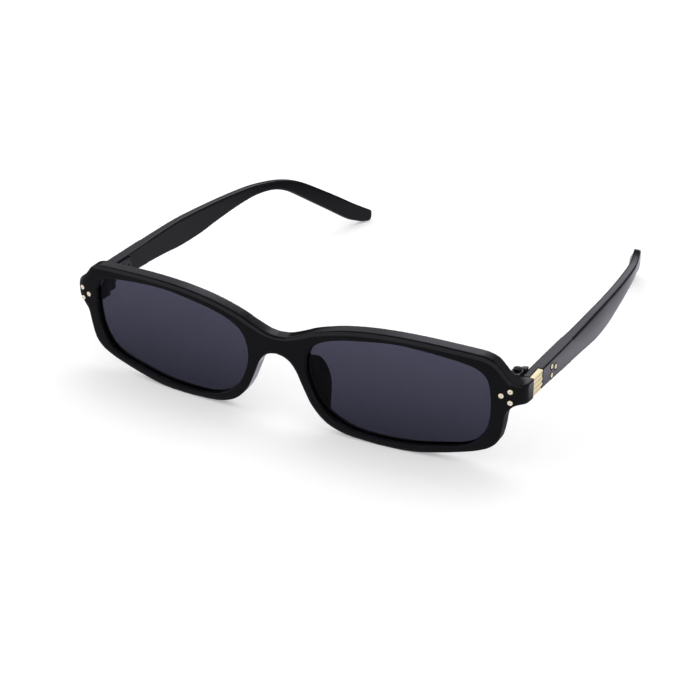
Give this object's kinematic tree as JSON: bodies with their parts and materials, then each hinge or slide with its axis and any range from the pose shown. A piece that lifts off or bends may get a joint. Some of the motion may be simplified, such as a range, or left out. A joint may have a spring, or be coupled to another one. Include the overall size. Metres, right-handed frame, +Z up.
{
  "type": "sunglasses",
  "caption": "Narrow rectangular sunglasses with a black acetate frame, tinted lenses, riveted hinges, gold plates and temples that fold inward.",
  "frame": {"origin": "on the surface the glasses rest on, under the middle of their bounding box", "axes": "+X towards the wearer's left, the front of the glasses looks along -Y and the temples run back along +Y, +Z up"},
  "size_m": [0.1412, 0.1452, 0.0347],
  "materials": {
    "black_acetate": "polished black acetate",
    "pad_acetate": "polished black acetate",
    "tinted_lens": "dark grey tint with a slight blue cast, polished",
    "gold_trim": "pale gold, polished",
    "hinge_steel": "satin dark grey",
    "screw_steel": "blackened",
    "core_wire": "satin"
  },
  "bodies": {
    "front": {"front_frame": "black_acetate", "lens_left": "tinted_lens", "lens_right": "tinted_lens", "nose_pad_left": "pad_acetate", "nose_pad_right": "pad_acetate", "hinge_front_leaf_left": "hinge_steel", "hinge_front_leaf_right": "hinge_steel", "hinge_screw_left": "screw_steel", "hinge_screw_right": "screw_steel", "front_rivets_left": "gold_trim", "front_rivets_right": "gold_trim"},
    "temple_left_arm": {"temple_left": "black_acetate", "temple_core_left": "core_wire", "hinge_temple_leaf_left": "hinge_steel", "temple_rivets_left": "gold_trim", "temple_plaque_left": "gold_trim"},
    "temple_right_arm": {"temple_right": "black_acetate", "temple_core_right": "core_wire", "hinge_temple_leaf_right": "hinge_steel", "temple_rivets_right": "gold_trim", "temple_plaque_right": "gold_trim"}
  },
  "joints": [
    {"name": "temple_left_fold", "type": "hinge", "parent": "front", "child": "temple_left_arm", "pos_m": [0.0653, -0.05905, 0.024], "axis": [0, 0, 1], "range_deg": [0, 83]},
    {"name": "temple_right_fold", "type": "hinge", "parent": "front", "child": "temple_right_arm", "pos_m": [-0.0653, -0.05905, 0.024], "axis": [0, 0, -1], "range_deg": [0, 75]}
  ]
}
